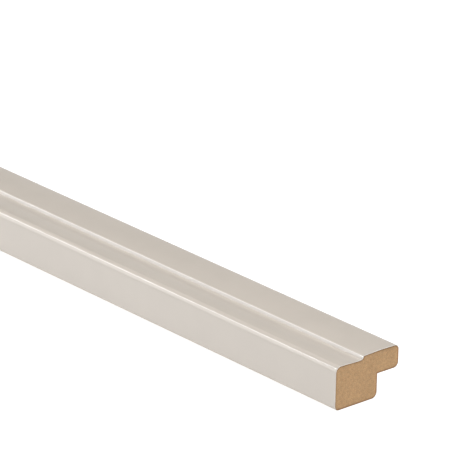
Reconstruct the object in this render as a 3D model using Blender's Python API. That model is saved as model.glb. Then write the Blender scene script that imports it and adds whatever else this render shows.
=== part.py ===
"""Crown moulding, cut square at both ends.

One bar of MDF, milled to a stepped profile with a rebate along its lower back.
The bar lies on its underside, with its length along X, its face towards -Y
and its height along Z. The origin is at the centre of its footprint.
All sizes are in metres.
"""

import math

import bpy

# Overall sizes
LENGTH = 0.500
WIDTH = 0.060

# Body under the arm, and the board that the rebate sits over
BODY_WIDTH = 0.040
BOARD_THICKNESS = 0.018
BOARD_CLEARANCE = 0.0002
ARM_THICKNESS = 0.0178

# Upper band: the crowned top of the arm, highest some way in from the back edge
UPPER_BAND_WIDTH = 0.0342
CROWN_RADIUS = 0.300
CROWN_FROM_BACK = 0.0165
CORNER_EASE = 0.0007

# Step down to the lower band
STEP_DEPTH = 0.0030
STEP_SLOPE = math.radians(60)
SHOULDER_RADIUS = 0.0018
COVE_RADIUS = 0.0010

# Lower band: a low swell at the nose that runs down to a flat strip at the step's foot
SWELL_RISE = 0.0005
SWELL_FROM_FACE = 0.0074
FLAT_STRIP_WIDTH = 0.0035

# Rounded corners
NOSE_RADIUS = 0.0047
FRONT_FOOT_RADIUS = 0.0040
BACK_FOOT_RADIUS = 0.0046
ARM_TOP_RADIUS = 0.0042
ARM_BOTTOM_RADIUS = 0.0040
SHARP = 0.0

# Fineness of the outline
ARC_STEP = math.radians(4.5)
CROWN_POINTS = 7
SWELL_POINTS = 12

# Finish: warm stone-coloured lacquer
LACQUER_COLOUR = (0.610, 0.553, 0.491, 1.0)
LACQUER_ROUGHNESS = 0.30

# Places that follow from the sizes
FACE = -WIDTH / 2
BACK = WIDTH / 2
REBATE_WALL = FACE + BODY_WIDTH
REBATE_CEILING = BOARD_THICKNESS + BOARD_CLEARANCE
CROWN_TOP = REBATE_CEILING + ARM_THICKNESS
HOLLOW = CROWN_TOP - STEP_DEPTH
SWELL_TOP = HOLLOW + SWELL_RISE


def crown_height(y):
    """Height of the upper band at y: an arc about its highest line."""
    across = y - (BACK - CROWN_FROM_BACK)
    return CROWN_TOP - CROWN_RADIUS + math.sqrt(CROWN_RADIUS**2 - across**2)


def swell_height(share):
    """Height of the lower band, from the swell at share 0 to the hollow at share 1."""
    return HOLLOW + SWELL_RISE * (1 + math.cos(math.pi * share)) / 2


def rounded_corner(before, corner, after, radius):
    """Points of the arc of that radius that touches both lines of a corner."""
    to_before = math.atan2(before[1] - corner[1], before[0] - corner[0])
    to_after = math.atan2(after[1] - corner[1], after[0] - corner[0])
    inside = (to_after - to_before) % (2 * math.pi)
    turn = 1 if inside > math.pi else -1
    half = min(inside, 2 * math.pi - inside) / 2
    reach = radius / math.tan(half)
    middle = to_before + (inside / 2 if inside < math.pi else inside / 2 + math.pi)
    away = radius / math.sin(half)
    centre = (corner[0] + away * math.cos(middle), corner[1] + away * math.sin(middle))
    start = (
        corner[0] + reach * math.cos(to_before),
        corner[1] + reach * math.sin(to_before),
    )
    sweep = math.pi - 2 * half
    first = math.atan2(start[1] - centre[1], start[0] - centre[0])
    steps = max(2, math.ceil(sweep / ARC_STEP))
    angles = [first + turn * sweep * i / steps for i in range(steps + 1)]
    return [
        (centre[0] + radius * math.cos(a), centre[1] + radius * math.sin(a))
        for a in angles
    ]


def crown_corners(shoulder_y):
    """The upper band from the back edge to the step's shoulder."""
    first = BACK - ARM_TOP_RADIUS - CORNER_EASE
    last = shoulder_y + SHOULDER_RADIUS
    between = [first + (last - first) * i / CROWN_POINTS for i in range(CROWN_POINTS + 1)]
    return [
        (BACK, crown_height(BACK), ARM_TOP_RADIUS),
        *((y, crown_height(y), SHARP) for y in between),
        (shoulder_y, crown_height(shoulder_y), SHOULDER_RADIUS),
    ]


def lower_band_corners(foot_y):
    """The lower band from the step's foot to the nose."""
    swell_y = FACE + SWELL_FROM_FACE
    slope_width = foot_y - FLAT_STRIP_WIDTH - swell_y
    shares = [1 - i / SWELL_POINTS for i in range(SWELL_POINTS + 1)]
    swell = [(swell_y + slope_width * s, swell_height(s), SHARP) for s in shares]
    return [(foot_y, HOLLOW, COVE_RADIUS), *swell, (FACE, SWELL_TOP, NOSE_RADIUS)]


def profile_corners():
    """Corners of the section as (y, z, radius), anticlockwise from the front foot."""
    shoulder_y = BACK - UPPER_BAND_WIDTH
    drop = crown_height(shoulder_y) - HOLLOW
    foot_y = shoulder_y - drop / math.tan(STEP_SLOPE)
    return [
        (FACE, 0.0, FRONT_FOOT_RADIUS),
        (REBATE_WALL, 0.0, BACK_FOOT_RADIUS),
        (REBATE_WALL, REBATE_CEILING, SHARP),
        (BACK, REBATE_CEILING, ARM_BOTTOM_RADIUS),
        *crown_corners(shoulder_y),
        *lower_band_corners(foot_y),
    ]


def profile_outline():
    """The section's outline, with every corner rounded to its radius."""
    corners = profile_corners()
    outline = []
    for i, (y, z, radius) in enumerate(corners):
        if radius == SHARP:
            outline.append((y, z))
            continue
        before = corners[i - 1]
        after = corners[(i + 1) % len(corners)]
        outline += rounded_corner(before, (y, z), after, radius)
    return outline


def lacquer():
    """Warm stone-coloured lacquer over the MDF."""
    material = bpy.data.materials.new("lacquer")
    material.use_nodes = True
    shader = material.node_tree.nodes["Principled BSDF"]
    shader.inputs["Base Color"].default_value = LACQUER_COLOUR
    shader.inputs["Roughness"].default_value = LACQUER_ROUGHNESS
    shader.inputs["Metallic"].default_value = 0.0
    material.diffuse_color = LACQUER_COLOUR
    return material


def moulding(collection):
    """The bar: its section is a flat outline, thickened to the bar's length."""
    outline = profile_outline()
    curve = bpy.data.curves.new("crown_moulding", "CURVE")
    curve.dimensions = "2D"
    curve.fill_mode = "BOTH"
    curve.extrude = LENGTH / 2
    spline = curve.splines.new("POLY")
    spline.points.add(len(outline) - 1)
    for point, (y, z) in zip(spline.points, outline):
        point.co = (y, z, 0.0, 1.0)
    spline.use_cyclic_u = True
    curve.materials.append(lacquer())
    bar = bpy.data.objects.new("crown_moulding", curve)
    # The outline's own X and Y become the bar's Y and Z, and its thickness runs along X.
    bar.rotation_euler = (math.pi / 2, 0.0, math.pi / 2)
    collection.objects.link(bar)
    return bar


def main():
    for old in list(bpy.data.objects):
        bpy.data.objects.remove(old)
    collection = bpy.data.collections.new("crown_moulding_piece")
    bpy.context.scene.collection.children.link(collection)
    moulding(collection)


main()
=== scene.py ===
import math
import random

import bpy
import numpy as np
from mathutils import Matrix, Vector, noise
from mathutils.geometry import delaunay_2d_cdt


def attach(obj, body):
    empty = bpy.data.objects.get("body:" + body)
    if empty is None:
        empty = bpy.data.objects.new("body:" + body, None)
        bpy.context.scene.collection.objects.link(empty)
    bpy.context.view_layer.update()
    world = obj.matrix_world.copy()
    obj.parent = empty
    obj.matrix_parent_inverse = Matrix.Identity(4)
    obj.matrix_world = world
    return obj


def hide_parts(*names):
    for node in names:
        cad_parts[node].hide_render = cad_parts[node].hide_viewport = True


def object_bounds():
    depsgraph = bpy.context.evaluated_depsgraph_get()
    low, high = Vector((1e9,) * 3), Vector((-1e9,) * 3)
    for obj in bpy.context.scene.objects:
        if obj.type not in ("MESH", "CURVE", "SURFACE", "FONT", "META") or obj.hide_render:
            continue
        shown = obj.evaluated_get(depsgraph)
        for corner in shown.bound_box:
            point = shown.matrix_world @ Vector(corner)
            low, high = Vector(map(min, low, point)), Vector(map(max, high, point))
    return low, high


# The looks of a lacquered MDF moulding: its coat, its sawn ends, and a soft studio round it.
# Sizes are in metres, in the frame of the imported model: length along X, face towards -Y, Z up.
# A facing is a part of the unit direction away from the bar: 1 is square on, 0 is edge on.

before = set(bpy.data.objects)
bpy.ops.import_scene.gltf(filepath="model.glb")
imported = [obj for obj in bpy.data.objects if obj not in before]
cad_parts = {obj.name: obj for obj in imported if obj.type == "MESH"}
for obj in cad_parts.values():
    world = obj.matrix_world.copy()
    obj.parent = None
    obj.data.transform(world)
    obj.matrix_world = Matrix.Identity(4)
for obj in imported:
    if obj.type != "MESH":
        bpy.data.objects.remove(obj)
cad_low, cad_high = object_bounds()

# The bar as packed
NODE = "crown_moulding"
NEAR_X = cad_high.x
FAR_X = cad_low.x
PLACE_DIGITS = 7
END_TOLERANCE = 1e-6

# Refining the section
BEND_LIMIT = math.radians(20)
LONGEST_BEND = 0.005
SHARP_EDGE = math.radians(40)

# Coat of lacquer: thick on the face and the top, thickest on the step, thin on the hidden sides
FACE_COAT = 0.00042
HIDDEN_COAT = 0.00012
POOLED_COAT = 0.00060
COAT_TO_MDF = 0.00002
ARRIS_SHARE = 0.5
ARRIS_STEPS = 4
RING_SPACING = 0.010

# Sides that show, from how far they face the shown direction
SHOWN_DIRECTION = (-0.6, 0.8)
SHOWN_FACING = (-0.35, 0.35)

# Step's face, where the coat has pooled, so that its pale cut edge there is wide and shows as a
# painted glint: its depths below the top, and how far forward it faces
STEP_FACE = 0.0021
STEP_FOOT = 0.0030
POOLED_FACING = (0.45, 0.80)

# Painted highlight: the lacquer's colour is made paler on the step's shoulder, less on the step's
# face
STEP_HIGHLIGHT_DEPTH = (0.0022, 0.0028)
HIGHLIGHT_FACING = (0.46, 0.64)
FACE_FACING = (0.76, 0.85)
FACE_HIGHLIGHT = 0.45

# Painted highlight: the lacquer's colour is made paler in a thin line along the nose
NOSE_HIGHLIGHT_FROM = (0.65, 0.70)
NOSE_HIGHLIGHT_TO = (0.74, 0.79)
NOSE_HIGHLIGHT = 0.75
NOSE_REACH = 0.006

# Sides that face down or back, with the thin matt coat
UNDER_FACING = 0.25
BACK_FACING = 0.35

# Places of the coat's materials on its mesh
GLOSSY = 0
CUT_EDGE = 1
MATT = 2

# Sawn end
SEED = 7
CAP_SPACING = 0.00045
CAP_JITTER = 0.30
CAP_STAGGER = 0.5
CAP_CLEARANCE = 0.6
CAP_RECESS = 0.00003
CAP_RELIEF = 0.00005
RELIEF_SIZE = 0.0011
RELIEF_FADE = 0.0006
RELIEF_FALLOFF = 1.0
RELIEF_FINER = 2.0
RELIEF_OCTAVES = 3

# Triangles over the sawn end are worked out in millimetres, and only inside its outline
MILLIMETRES = 1000.0
INSIDE_ONLY = 1
SAME_PLACE = 1e-6

# Tint of the sawn end: a darker rim, a dense layer under the arm's top and a paler line by the back
RIM_FACING = (0.2, 0.8)
RIM_WIDTH = 0.0009
RIM_FALL = 2.0
TOP_RIM = (0.50, 0.48, 0.47)
UNDER_RIM = (0.50, 0.42, 0.35)
FRONT_RIM = (0.66, 0.62, 0.57)
BACK_RIM = (0.72, 0.55, 0.44)
LINE_FROM_RIM = 0.0018
LINE_HALF = 0.0004
LINE_LIGHTER = 0.10
DENSE_DEPTH = 0.0035
DENSE_FROM_BACK = (0.032, 0.018)
DENSE_DARKER = 0.10

# Noise: the range that it mostly fills, and its usual detail and stretch
NOISE_RANGE = (0.3, 0.7)
PLAIN_DETAIL = 2.0
FINE_DETAIL = 3.0
EVEN = (1.0, 1.0, 1.0)

# Lacquer
LACQUER = (0.61, 0.553, 0.491)
# Paler lacquer colour, painted where the highlight falls on the nose and the step's shoulder
HIGHLIGHT_LACQUER = (0.80, 0.762, 0.72)
LACQUER_GLOSS = 0.09
LACQUER_DULL = 0.60
LACQUER_IOR = 1.5
CLEAR_COAT = 1.0
CLEAR_COAT_IOR = 1.5
CLEAR_COAT_ROUGHNESS = 0.06
LACQUER_CLOUD_SIZE = 0.030
LACQUER_CLOUD = (0.985, 1.015)
GLOSS_PATCH_SIZE = 0.006
GLOSS_PATCH = (0.94, 1.06)
PEEL_SIZE = 0.0016
PEEL_STRETCH = (1.6, 1.0, 1.0)
PEEL_DEPTH = 0.000003

# Thin lacquer on the sides that face down or back
THIN_SPECULAR = 0.15
THIN_CLOUD_SIZE = 0.012
THIN_CLOUD = (0.96, 1.03)
THIN_PATCH_SIZE = 0.004
THIN_PATCH = (0.92, 1.08)
THIN_FIBRE_SIZE = 0.0007
THIN_FIBRE_DEPTH = 0.000012

# Primer at the coat's cut edge: pale, and made paler still to paint the glint where the edge is wide
# on the step
PRIMER_AND_GLINT = (0.80, 0.79, 0.77)
PRIMER_ROUGHNESS = 0.5
PRIMER_SPECK_SIZE = 0.0006
PRIMER_SPECK = (0.94, 1.06)
PRIMER_GRAIN_SIZE = 0.0004
PRIMER_GRAIN_DEPTH = 0.00002

# MDF: its colour wanders between the yellow and the red one
MDF = (0.456, 0.287, 0.150)
MDF_YELLOW = (0.454, 0.296, 0.159)
MDF_RED = (0.458, 0.278, 0.141)
MDF_ROUGHNESS = 0.85
MDF_SPECULAR = 0.2
HUE_SIZE = 0.0011
HUE_NOISE = (0.35, 0.65)
FIBRE_SIZE = 0.0006
FIBRE_DETAIL = 4.0
FIBRE = (0.80, 1.20)
MOTTLE_SIZE = 0.0026
MOTTLE = (0.93, 1.07)
CLOUD_SIZE = 0.010
CLOUD = (0.97, 1.03)
SPECK_SIZE = 0.0012
SPECK_STRETCH = (1.0, 1.5, 0.8)
SPECK_NOISE = (0.71, 0.75)
SPECK = (1.0, 0.66)
CHIP_SIZE = 0.0010
CHIP_STRETCH = (1.0, 0.8, 1.4)
CHIP_NOISE = (0.24, 0.30)
CHIP = (1.20, 1.0)
SAWN_GRAIN_SIZE = 0.0006
SAWN_GRAIN_DEPTH = 0.00012

# Camera
CAMERA_PLACE = (1.96054, -1.64746, 1.05838)
CAMERA_AZIMUTH = math.radians(48.4375)
CAMERA_ELEVATION = math.radians(21.445)
CAMERA_ROLL = math.radians(1.2501)
CAMERA_LENS = 289.99
CAMERA_SENSOR = 36.0
CAMERA_NEAREST = 0.1
CAMERA_FARTHEST = 50.0

# Floor and world
WHITE = (1.0, 1.0, 1.0)
FLOOR_HALF = 6.0
FLOOR_DROP = 0.00005
PAPER = (0.25, 0.25, 0.25)
PAPER_ROUGHNESS = 0.9
PAPER_SPECULAR = 0.1
PAPER_GLOW = 0.88
HORIZON_EDGE = (0.22, 0.38)
HORIZON_TO_SKY = (0.32, 0.02)

# Softboxes, all turned to one place: name, place, direction of the long side, sides, radiance
LIT_PLACE = (0.0, 0.0, 0.02)
SOFT_BOXES = (
    ("key_strip", (-1.99, -1.17, 1.72), (-0.867, 0.409, 0.283), (1.8, 0.12), 11.5),
    ("front_panel", (-1.75, -1.43, 0.75), (-0.92, 0.38, 0.08), (1.9, 1.05), 1.98),
    ("low_panel", (-1.9, -1.6, 0.30), (-0.92, 0.38, 0.08), (1.9, 0.5), 0.8),
    ("overhead", (0.0, 0.2, 2.2), (1, 0, 0), (2.0, 2.0), 4.1),
    ("rear_box", (0.78, 1.43, 2.03), (1, 0, 0), (1.4, 1.4), 2.3),
    ("end_fill", (2.2, -0.6, 1.1), (0, 1, 0), (1.2, 1.2), 4.0),
)


def turn_at(before, here, after):
    """Signed angle that the outline turns through at a point, positive to the left."""
    first = math.atan2(here[1] - before[1], here[0] - before[0])
    second = math.atan2(after[1] - here[1], after[0] - here[0])
    return (second - first + math.pi) % (2 * math.pi) - math.pi


def section_outline(node):
    """The section's corners as (y, z), anticlockwise seen from +X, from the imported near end."""
    mesh = node.data
    places = [tuple(round(c, PLACE_DIGITS) for c in v.co) for v in mesh.vertices]
    mesh.calc_loop_triangles()
    edges = set()
    for triangle in mesh.loop_triangles:
        corners = [places[i] for i in triangle.vertices]
        if all(NEAR_X - c[0] < END_TOLERANCE for c in corners):
            edges.update(zip(corners, corners[1:] + corners[:1]))
    follows = {a: b for a, b in edges if (b, a) not in edges}
    place = min(follows)
    outline = []
    for _ in follows:
        outline.append(place[1:])
        place = follows[place]
    return outline


def bent_outline(outline):
    """The outline with one more point in each short stretch of a curve, on its arc."""
    count = len(outline)
    turns = [turn_at(outline[i - 1], outline[i], outline[(i + 1) % count]) for i in range(count)]
    bent = []
    for i, start in enumerate(outline):
        end = outline[(i + 1) % count]
        pair = (turns[i], turns[(i + 1) % count])
        along = (end[0] - start[0], end[1] - start[1])
        length = math.hypot(*along)
        bent.append(start)
        curved = pair[0] * pair[1] > 0 and max(map(abs, pair)) < BEND_LIMIT
        if curved and length < LONGEST_BEND:
            rise = math.tan(min(pair, key=abs) / 4) / 2
            middle = ((start[0] + end[0]) / 2, (start[1] + end[1]) / 2)
            bent.append((middle[0] + rise * along[1], middle[1] - rise * along[0]))
    return bent


def split_outline(outline, longest):
    """The outline with its long stretches cut into equal parts no longer than that."""
    parts = []
    for i, start in enumerate(outline):
        end = outline[(i + 1) % len(outline)]
        count = max(1, math.ceil(math.dist(start, end) / longest))
        parts += [
            (start[0] + (end[0] - start[0]) * k / count, start[1] + (end[1] - start[1]) * k / count)
            for k in range(count)
        ]
    return parts


def outward(outline):
    """At each point, the direction away from the bar, as long as a mitre of depth 1."""
    points = np.array(outline)
    ahead = np.roll(points, -1, axis=0) - points
    ahead /= np.hypot(*ahead.T)[:, None]
    normals = np.column_stack([ahead[:, 1], -ahead[:, 0]])
    before = np.roll(normals, 1, axis=0)
    mitre = normals + before
    return mitre / (1 + (normals * before).sum(axis=1))[:, None]


def facing(outline):
    """At each point, the unit direction away from the bar."""
    away = outward(outline)
    return away / np.hypot(*away.T)[:, None]


def smooth_share(value, low, high):
    """0 below low, 1 above high, and an even curve between them."""
    share = np.clip((value - low) / (high - low), 0, 1)
    return share * share * (3 - 2 * share)


def shown_share(outline):
    """At each point, 1 where the side shows and 0 where it is hidden."""
    return smooth_share(facing(outline) @ np.array(SHOWN_DIRECTION), *SHOWN_FACING)


def pooled_share(outline):
    """At each point, 1 on the step's face, where the coat has pooled, and 0 elsewhere."""
    height = np.array(outline)[:, 1]
    raised = smooth_share(height, cad_high.z - STEP_FOOT, cad_high.z - STEP_FACE)
    return raised * smooth_share(-facing(outline)[:, 0], *POOLED_FACING)


def coat_depth(outline):
    """Thickness of the lacquer at each point of the outline."""
    even = HIDDEN_COAT + (FACE_COAT - HIDDEN_COAT) * shown_share(outline)
    return even + POOLED_COAT * pooled_share(outline)


def painted_highlight_share(outline):
    """At each point, how strong the painted highlight is, on the step's shoulder and the nose."""
    away = facing(outline)
    forward = -away[:, 0]
    across, height = np.array(outline).T
    least, most = STEP_HIGHLIGHT_DEPTH
    raised = smooth_share(height, cad_high.z - most, cad_high.z - least)
    face = smooth_share(forward, *FACE_FACING)
    shoulder = raised * smooth_share(forward, *HIGHLIGHT_FACING) * (1 - (1 - FACE_HIGHLIGHT) * face)
    at_nose = (away[:, 1] > 0) & (across < cad_low.y + NOSE_REACH)
    nose = smooth_share(forward, *NOSE_HIGHLIGHT_FROM) * (1 - smooth_share(forward, *NOSE_HIGHLIGHT_TO))
    return shoulder + NOSE_HIGHLIGHT * at_nose * nose


def hidden_side(outline):
    """At each point, whether it faces down or back, where the coat is a thin matt one."""
    away = facing(outline)
    return (away[:, 1] < -UNDER_FACING) | (away[:, 0] > BACK_FACING)


def inset(outline, depth):
    """The outline moved into the bar by a depth for each point."""
    return np.array(outline) - outward(outline) * np.asarray(depth)[:, None]


def piece_of(name, vertices, faces, materials):
    """A mesh object that rides on the bar and takes that slot's finish."""
    mesh = bpy.data.meshes.new(name)
    mesh.from_pydata([tuple(v) for v in vertices], [], faces)
    for material in materials:
        mesh.materials.append(material)
    mesh.shade_smooth()
    mesh.set_sharp_from_angle(angle=SHARP_EDGE)
    piece = bpy.data.objects.new(name, mesh)
    bpy.context.scene.collection.objects.link(piece)
    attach(piece, "root")
    return piece


def float_attribute(mesh, name, values):
    """A number for each vertex, which a material can read."""
    attribute = mesh.attributes.new(name, "FLOAT", "POINT")
    attribute.data.foreach_set("value", np.asarray(values, dtype=np.float32))


def colour_attribute(mesh, name, colours):
    """A colour for each vertex, which a material can read."""
    attribute = mesh.attributes.new(name, "FLOAT_COLOR", "POINT")
    full = np.ones((len(colours), 4), dtype=np.float32)
    full[:, :3] = colours
    attribute.data.foreach_set("color", full.ravel())


def ring_points(x, yz):
    """A ring round the bar: x may differ from point to point."""
    return np.column_stack([np.broadcast_to(x, len(yz)), yz])


def end_rings(outline, depth, end_x, inward):
    """Rings of a coat's end: its eased arris, then its cut edge. inward is -1 or 1 along X."""
    radius = depth * ARRIS_SHARE
    rings = []
    for step in range(ARRIS_STEPS + 1):
        angle = math.pi / 2 * step / ARRIS_STEPS
        x = end_x + inward * radius * (1 - math.sin(angle))
        rings.append(ring_points(x, inset(outline, radius * (1 - math.cos(angle)))))
    rings.append(ring_points(end_x, inset(outline, depth)))
    return rings


def coat_rings(outline):
    """Rings of the whole coat, from the far end's cut edge to the near end's."""
    depth = coat_depth(outline)
    near = end_rings(outline, depth, NEAR_X, -1)
    far = end_rings(outline, depth, FAR_X, 1)
    count = math.ceil((NEAR_X - FAR_X) / RING_SPACING)
    stations = [FAR_X + (NEAR_X - FAR_X) * i / count for i in range(1, count)]
    length = [ring_points(x, np.array(outline)) for x in stations]
    return [*reversed(far), *length, *near]


def coat_faces(outline, ring_count):
    """The coat's faces and the place of each one's material. The last ring joins the first."""
    size = len(outline)
    matt = hidden_side(outline)
    finish = [MATT if matt[i] and matt[(i + 1) % size] else GLOSSY for i in range(size)]
    faces = []
    finishes = []
    for r in range(ring_count):
        ahead = (r + 1) % ring_count
        cut = r == 0 or r >= ring_count - 2
        for i in range(size):
            j = (i + 1) % size
            faces.append((r * size + i, ahead * size + i, ahead * size + j, r * size + j))
            finishes.append(CUT_EDGE if cut else finish[i])
    return faces, finishes


def lacquer_coat(outline, materials):
    """The coat: a thin closed tube round the MDF, with an eased arris and a cut edge at each end."""
    rings = coat_rings(outline)
    faces, finishes = coat_faces(outline, len(rings))
    coat = piece_of("lacquer_coat", np.vstack(rings), faces, materials)
    coat.data.polygons.foreach_set("material_index", finishes)
    float_attribute(coat.data, "shown", np.tile(shown_share(outline), len(rings)))
    # How much painted highlight each point gets, for the lacquer's colour
    float_attribute(coat.data, "painted_highlight", np.tile(painted_highlight_share(outline), len(rings)))
    even = coat.modifiers.new("even_normals", "WEIGHTED_NORMAL")
    even.keep_sharp = True


def inside(points, outline):
    """For each point, whether it lies inside the outline."""
    answer = np.zeros(len(points), dtype=bool)
    x, y = points.T
    for (ax, ay), (bx, by) in zip(outline, np.roll(outline, -1, axis=0)):
        if ay != by:
            crosses = ((ay > y) != (by > y)) & (x < (bx - ax) * (y - ay) / (by - ay) + ax)
            answer ^= crosses
    return answer


def edge_distance(points, outline):
    """For each point, its distance to the outline and the number of the nearest stretch."""
    best = np.full(len(points), np.inf)
    nearest = np.zeros(len(points), dtype=int)
    for i, (a, b) in enumerate(zip(outline, np.roll(outline, -1, axis=0))):
        along = b - a
        share = np.clip((points - a) @ along / (along @ along), 0, 1)
        gap = np.hypot(*(points - a - share[:, None] * along).T)
        closer = gap < best
        best[closer] = gap[closer]
        nearest[closer] = i
    return best, nearest


def cap_grid(outline):
    """Points spread over the sawn end, jittered, and clear of its outline."""
    draw = random.Random(SEED)
    low = outline.min(axis=0)
    high = outline.max(axis=0)
    steps = np.ceil((high - low) / CAP_SPACING).astype(int)
    points = []
    for i in range(steps[0] + 1):
        for j in range(steps[1] + 1):
            shift = (draw.uniform(-CAP_JITTER, CAP_JITTER), draw.uniform(-CAP_JITTER, CAP_JITTER))
            stagger = CAP_STAGGER * (j % 2)
            points.append(low + CAP_SPACING * np.array([i + stagger + shift[0], j + shift[1]]))
    points = np.array(points)
    points = points[inside(points, outline)]
    gap, _ = edge_distance(points, outline)
    return points[gap > CAP_SPACING * CAP_CLEARANCE]


def cap_triangles(outline, grid):
    """Triangles over the outline's points and then the grid's, anticlockwise seen from +X."""
    places = [Vector(p) * MILLIMETRES for p in np.vstack([outline, grid])]
    count = len(outline)
    rim = [(i, (i + 1) % count) for i in range(count)]
    _, _, faces, origins, _, _ = delaunay_2d_cdt(places, rim, [], INSIDE_ONLY, SAME_PLACE)
    back = [o[0] for o in origins]
    return [[back[i] for i in face] for face in faces]


def cap_relief(grid, gap):
    """How far the sawn end dips at each point: torn fibres, fading out at the rim."""
    dips = []
    for (y, z), distance in zip(grid, gap):
        place = Vector((y, z, 0.0)) / RELIEF_SIZE
        rough = noise.fractal(place, RELIEF_FALLOFF, RELIEF_FINER, RELIEF_OCTAVES)
        dips.append((0.5 + 0.5 * rough) * min(1.0, distance / RELIEF_FADE))
    return CAP_RELIEF * np.clip(dips, 0, 1)


def bell(value, width, power=2):
    """1 at 0, and falling off evenly over that width."""
    return np.exp(-((value / width) ** power))[:, None]


def rim_tint(outline, gap, nearest):
    """Factors for the sawn end's colour at each point, from its place by the outline."""
    y, z = facing(outline).T
    top, under, front, back = (
        smooth_share(side, *RIM_FACING)[nearest, None] for side in (z, -z, -y, y)
    )
    sides = ((top, TOP_RIM), (under, UNDER_RIM), (front, FRONT_RIM), (back, BACK_RIM))
    total = sum(share for share, _ in sides)
    colour = sum(share * np.array(rim) for share, rim in sides) / total
    rim = 1 + (colour - 1) * bell(gap, RIM_WIDTH, RIM_FALL)
    from_back = cad_high.y - np.array(outline)[nearest, 0]
    on_arm = smooth_share(from_back, *DENSE_FROM_BACK)[:, None]
    dense = bell(gap, DENSE_DEPTH) * top * on_arm
    line = bell(gap - LINE_FROM_RIM, LINE_HALF) * back
    return rim * (1 - DENSE_DARKER * dense) + LINE_LIGHTER * line


def mdf_bar(outline, materials):
    """The MDF under the coat, with a rough sawn end at each end of its length."""
    core = inset(outline, coat_depth(outline) + COAT_TO_MDF)
    grid = cap_grid(core)
    gap, nearest = edge_distance(grid, core)
    dips = cap_relief(grid, gap)
    triangles = cap_triangles(core, grid)
    rim_count = len(core)
    per_end = rim_count + len(grid)
    vertices = []
    faces = []
    for end_x, inward in ((NEAR_X, -1), (FAR_X, 1)):
        first = len(vertices)
        x = end_x + inward * CAP_RECESS
        vertices += [(x, *p) for p in core]
        vertices += [(x + inward * dip, *p) for p, dip in zip(grid, dips)]
        turned = [t if inward < 0 else t[::-1] for t in triangles]
        faces += [tuple(first + i for i in t) for t in turned]
    for i in range(rim_count):
        j = (i + 1) % rim_count
        faces.append((i, per_end + i, per_end + j, j))
    bar = piece_of("mdf_bar", vertices, faces, materials)
    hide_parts(NODE)
    edge_colour = rim_tint(outline, np.zeros(rim_count), np.arange(rim_count))
    grid_colour = rim_tint(outline, gap, nearest)
    colour_attribute(bar.data, "rim_tint", np.vstack([edge_colour, grid_colour] * 2))


def new_material(name, colour, roughness):
    """A Principled material, with its node tree and its shader."""
    material = bpy.data.materials.new(name)
    material.use_nodes = True
    tree = material.node_tree
    shader = tree.nodes["Principled BSDF"]
    shader.inputs["Base Color"].default_value = (*colour, 1.0)
    shader.inputs["Roughness"].default_value = roughness
    material.diffuse_color = (*colour, 1.0)
    return material, tree, shader


def feed(tree, value, socket):
    """Gives a socket a value, which is another socket's or a plain one."""
    if isinstance(value, bpy.types.NodeSocket):
        tree.links.new(value, socket)
    else:
        socket.default_value = value


def attribute_node(tree, name):
    """A node that reads one of the mesh's attributes."""
    node = tree.nodes.new("ShaderNodeAttribute")
    node.attribute_name = name
    return node


def object_noise(tree, feature, detail=PLAIN_DETAIL, stretch=EVEN):
    """Noise whose features are about that many metres across, in the bar's own coordinates."""
    place = tree.nodes.new("ShaderNodeTexCoord")
    spread = tree.nodes.new("ShaderNodeMapping")
    spread.inputs["Scale"].default_value = [1 / (feature * s) for s in stretch]
    texture = tree.nodes.new("ShaderNodeTexNoise")
    texture.inputs["Scale"].default_value = 1.0
    texture.inputs["Detail"].default_value = detail
    tree.links.new(place.outputs["Object"], spread.inputs["Vector"])
    tree.links.new(spread.outputs["Vector"], texture.inputs["Vector"])
    return texture.outputs["Fac"]


def remapped(tree, value, source, target):
    """A value whose source range, a pair, is stretched to the target range."""
    node = tree.nodes.new("ShaderNodeMapRange")
    node.inputs["From Min"].default_value = source[0]
    node.inputs["From Max"].default_value = source[1]
    node.inputs["To Min"].default_value = target[0]
    node.inputs["To Max"].default_value = target[1]
    tree.links.new(value, node.inputs["Value"])
    return node.outputs["Result"]


def varied(tree, feature, target, detail=PLAIN_DETAIL):
    """A factor that wanders over the target range, with features of that size."""
    return remapped(tree, object_noise(tree, feature, detail), NOISE_RANGE, target)


def multiplied(tree, first, second):
    """The product of two numbers, each a socket or a plain one."""
    node = tree.nodes.new("ShaderNodeMath")
    node.operation = "MULTIPLY"
    feed(tree, first, node.inputs[0])
    feed(tree, second, node.inputs[1])
    return node.outputs["Value"]


def scaled_colour(tree, colour, factor):
    """A colour times a number, each a socket or plain values."""
    node = tree.nodes.new("ShaderNodeVectorMath")
    node.operation = "SCALE"
    feed(tree, colour, node.inputs["Vector"])
    feed(tree, factor, node.inputs["Scale"])
    return node.outputs["Vector"]


def tinted_colour(tree, colour, tint):
    """A colour times another, value by value."""
    node = tree.nodes.new("ShaderNodeVectorMath")
    node.operation = "MULTIPLY"
    feed(tree, tint, node.inputs[0])
    feed(tree, colour, node.inputs[1])
    return node.outputs["Vector"]


def blended(tree, share, first, second):
    """The first colour where the share is 0, the second where it is 1."""
    node = tree.nodes.new("ShaderNodeVectorMath")
    node.operation = "MULTIPLY_ADD"
    tree.links.new(share, node.inputs[0])
    node.inputs[1].default_value = [b - a for a, b in zip(first, second)]
    node.inputs[2].default_value = first
    return node.outputs["Vector"]


def bumped(tree, shader, height, distance):
    """Relief from a height, given as the real depth of its full range."""
    node = tree.nodes.new("ShaderNodeBump")
    node.inputs["Distance"].default_value = distance
    node.inputs["Strength"].default_value = 1.0
    tree.links.new(height, node.inputs["Height"])
    tree.links.new(node.outputs["Normal"], shader.inputs["Normal"])


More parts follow.
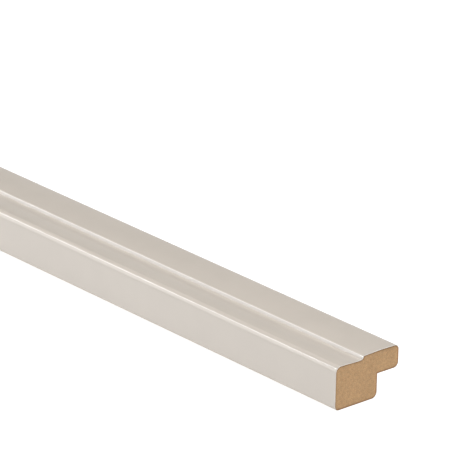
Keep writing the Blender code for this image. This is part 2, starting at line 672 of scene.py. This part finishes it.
def lacquer_material():
    """Glossy lacquer with a faint orange peel, paler where a highlight is painted into its colour,
    duller where less shown.
    """
    material, tree, shader = new_material("lacquer_finish", LACQUER, LACQUER_GLOSS)
    shader.inputs["IOR"].default_value = LACQUER_IOR
    shader.inputs["Coat Weight"].default_value = CLEAR_COAT
    shader.inputs["Coat IOR"].default_value = CLEAR_COAT_IOR
    shader.inputs["Coat Roughness"].default_value = CLEAR_COAT_ROUGHNESS
    shown = attribute_node(tree, "shown").outputs["Fac"]
    painted_highlight = attribute_node(tree, "painted_highlight").outputs["Fac"]
    cloud = varied(tree, LACQUER_CLOUD_SIZE, LACQUER_CLOUD)
    # Painted highlight: the colour turns paler where that mask is high
    highlighted = blended(tree, painted_highlight, LACQUER, HIGHLIGHT_LACQUER)
    tree.links.new(scaled_colour(tree, highlighted, cloud), shader.inputs["Base Color"])
    gloss = remapped(tree, shown, (0.0, 1.0), (LACQUER_DULL, LACQUER_GLOSS))
    patch = varied(tree, GLOSS_PATCH_SIZE, GLOSS_PATCH)
    tree.links.new(multiplied(tree, gloss, patch), shader.inputs["Roughness"])
    bumped(tree, shader, object_noise(tree, PEEL_SIZE, stretch=PEEL_STRETCH), PEEL_DEPTH)
    return material


def hidden_lacquer_material():
    """A thin, dull coat of the same lacquer, with the fibres of the MDF just felt through it."""
    material, tree, shader = new_material("thin_lacquer", LACQUER, LACQUER_DULL)
    shader.inputs["Specular IOR Level"].default_value = THIN_SPECULAR
    cloud = varied(tree, THIN_CLOUD_SIZE, THIN_CLOUD)
    tree.links.new(scaled_colour(tree, LACQUER, cloud), shader.inputs["Base Color"])
    patch = varied(tree, THIN_PATCH_SIZE, THIN_PATCH)
    tree.links.new(multiplied(tree, patch, LACQUER_DULL), shader.inputs["Roughness"])
    bumped(tree, shader, object_noise(tree, THIN_FIBRE_SIZE, FINE_DETAIL), THIN_FIBRE_DEPTH)
    return material


def primer_and_glint_material():
    """Pale primer and lacquer, seen at the coat's cut edge, and made paler still as a painted glint
    on the step's wide edge.
    """
    material, tree, shader = new_material("coat_edge", PRIMER_AND_GLINT, PRIMER_ROUGHNESS)
    speck = varied(tree, PRIMER_SPECK_SIZE, PRIMER_SPECK)
    # Painted glint: the primer's colour is paler than the cut edge alone would be
    tree.links.new(scaled_colour(tree, PRIMER_AND_GLINT, speck), shader.inputs["Base Color"])
    bumped(tree, shader, object_noise(tree, PRIMER_GRAIN_SIZE), PRIMER_GRAIN_DEPTH)
    return material


def mdf_shade(tree):
    """How light the sawn MDF is: fibres, mottles, clouds, dark specks and pale chips."""
    fibre = varied(tree, FIBRE_SIZE, FIBRE, FIBRE_DETAIL)
    mottle = varied(tree, MOTTLE_SIZE, MOTTLE)
    cloud = varied(tree, CLOUD_SIZE, CLOUD)
    speck_noise = object_noise(tree, SPECK_SIZE, stretch=SPECK_STRETCH)
    speck = remapped(tree, speck_noise, SPECK_NOISE, SPECK)
    chip_noise = object_noise(tree, CHIP_SIZE, stretch=CHIP_STRETCH)
    chip = remapped(tree, chip_noise, CHIP_NOISE, CHIP)
    marks = multiplied(tree, speck, chip)
    return multiplied(tree, multiplied(tree, fibre, mottle), multiplied(tree, cloud, marks))


def mdf_material():
    """Sawn MDF: matt, mottled in shade and hue, tinted from its place by the outline."""
    material, tree, shader = new_material("sawn_mdf", MDF, MDF_ROUGHNESS)
    shader.inputs["Specular IOR Level"].default_value = MDF_SPECULAR
    redness = remapped(tree, object_noise(tree, HUE_SIZE), HUE_NOISE, (0.0, 1.0))
    hue = blended(tree, redness, MDF_YELLOW, MDF_RED)
    tint = attribute_node(tree, "rim_tint").outputs["Color"]
    colour = scaled_colour(tree, tinted_colour(tree, hue, tint), mdf_shade(tree))
    tree.links.new(colour, shader.inputs["Base Color"])
    bumped(tree, shader, object_noise(tree, SAWN_GRAIN_SIZE, FINE_DETAIL), SAWN_GRAIN_DEPTH)
    return material


def floor_material():
    """Plain paper with an even glow, so that it stays white right up to the bar."""
    material, _, shader = new_material("floor_paper", PAPER, PAPER_ROUGHNESS)
    shader.inputs["Specular IOR Level"].default_value = PAPER_SPECULAR
    shader.inputs["Emission Color"].default_value = (*WHITE, 1.0)
    shader.inputs["Emission Strength"].default_value = PAPER_GLOW
    return material


def studio_floor():
    """A wide floor, just under the bar."""
    mesh = bpy.data.meshes.new("studio_floor")
    corners = ((-1, -1), (1, -1), (1, 1), (-1, 1))
    places = [(x * FLOOR_HALF, y * FLOOR_HALF, -FLOOR_DROP) for x, y in corners]
    mesh.from_pydata(places, [], [(0, 1, 2, 3)])
    mesh.materials.append(floor_material())
    floor = bpy.data.objects.new("studio_floor", mesh)
    bpy.context.scene.collection.objects.link(floor)


def studio_world():
    """Neutral light, faint overhead and a little stronger along the horizon."""
    world = bpy.data.worlds.new("studio")
    world.use_nodes = True
    tree = world.node_tree
    background = tree.nodes["Background"]
    place = tree.nodes.new("ShaderNodeTexCoord")
    split = tree.nodes.new("ShaderNodeSeparateXYZ")
    tree.links.new(place.outputs["Generated"], split.inputs["Vector"])
    level = remapped(tree, split.outputs["Z"], HORIZON_EDGE, HORIZON_TO_SKY)
    level.node.interpolation_type = "SMOOTHSTEP"
    tree.links.new(level, background.inputs["Strength"])
    background.inputs["Color"].default_value = (*WHITE, 1.0)
    bpy.context.scene.world = world


def soft_box(name, place, long_side, size, radiance):
    """A softbox: size is (long side, short side), and long_side the direction of the first."""
    lamp = bpy.data.lights.new(name, "AREA")
    lamp.shape = "RECTANGLE"
    lamp.size, lamp.size_y = size
    lamp.color = WHITE
    # A flat emitter of area A and radiance L gives out pi * A * L watts.
    lamp.energy = math.pi * size[0] * size[1] * radiance
    back = (Vector(place) - Vector(LIT_PLACE)).normalized()
    across = Vector(long_side)
    across = (across - across.dot(back) * back).normalized()
    up = back.cross(across)
    turn = Matrix((across, up, back)).transposed().to_4x4()
    box = bpy.data.objects.new(name, lamp)
    box.matrix_world = Matrix.Translation(place) @ turn
    box.visible_camera = False
    bpy.context.scene.collection.objects.link(box)


def studio_lights():
    """A key strip, panels before the face, boxes above and behind, and a fill for the sawn end."""
    for box in SOFT_BOXES:
        soft_box(*box)


def studio_camera():
    """The camera at the photograph's place, looking along its direction."""
    azimuth, elevation, roll = CAMERA_AZIMUTH, CAMERA_ELEVATION, CAMERA_ROLL
    back = Vector(
        (
            math.sin(azimuth) * math.cos(elevation),
            -math.cos(azimuth) * math.cos(elevation),
            math.sin(elevation),
        )
    )
    level = Vector((math.cos(azimuth), math.sin(azimuth), 0.0))
    upright = back.cross(level)
    right = level * math.cos(roll) + upright * math.sin(roll)
    up = upright * math.cos(roll) - level * math.sin(roll)
    lens = bpy.data.cameras.new("camera")
    lens.lens = CAMERA_LENS
    lens.sensor_width = CAMERA_SENSOR
    lens.clip_start = CAMERA_NEAREST
    lens.clip_end = CAMERA_FARTHEST
    camera = bpy.data.objects.new("camera", lens)
    turn = Matrix((right, up, back)).transposed().to_4x4()
    camera.matrix_world = Matrix.Translation(CAMERA_PLACE) @ turn
    bpy.context.scene.collection.objects.link(camera)
    bpy.context.scene.camera = camera


def main():
    outline = bent_outline(section_outline(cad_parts[NODE]))
    lacquer_coat(outline, [lacquer_material(), primer_and_glint_material(), hidden_lacquer_material()])
    mdf_bar(split_outline(outline, CAP_SPACING), [mdf_material()])
    studio_floor()
    studio_world()
    studio_lights()
    studio_camera()
    bpy.context.scene.view_settings.view_transform = "Standard"


main()
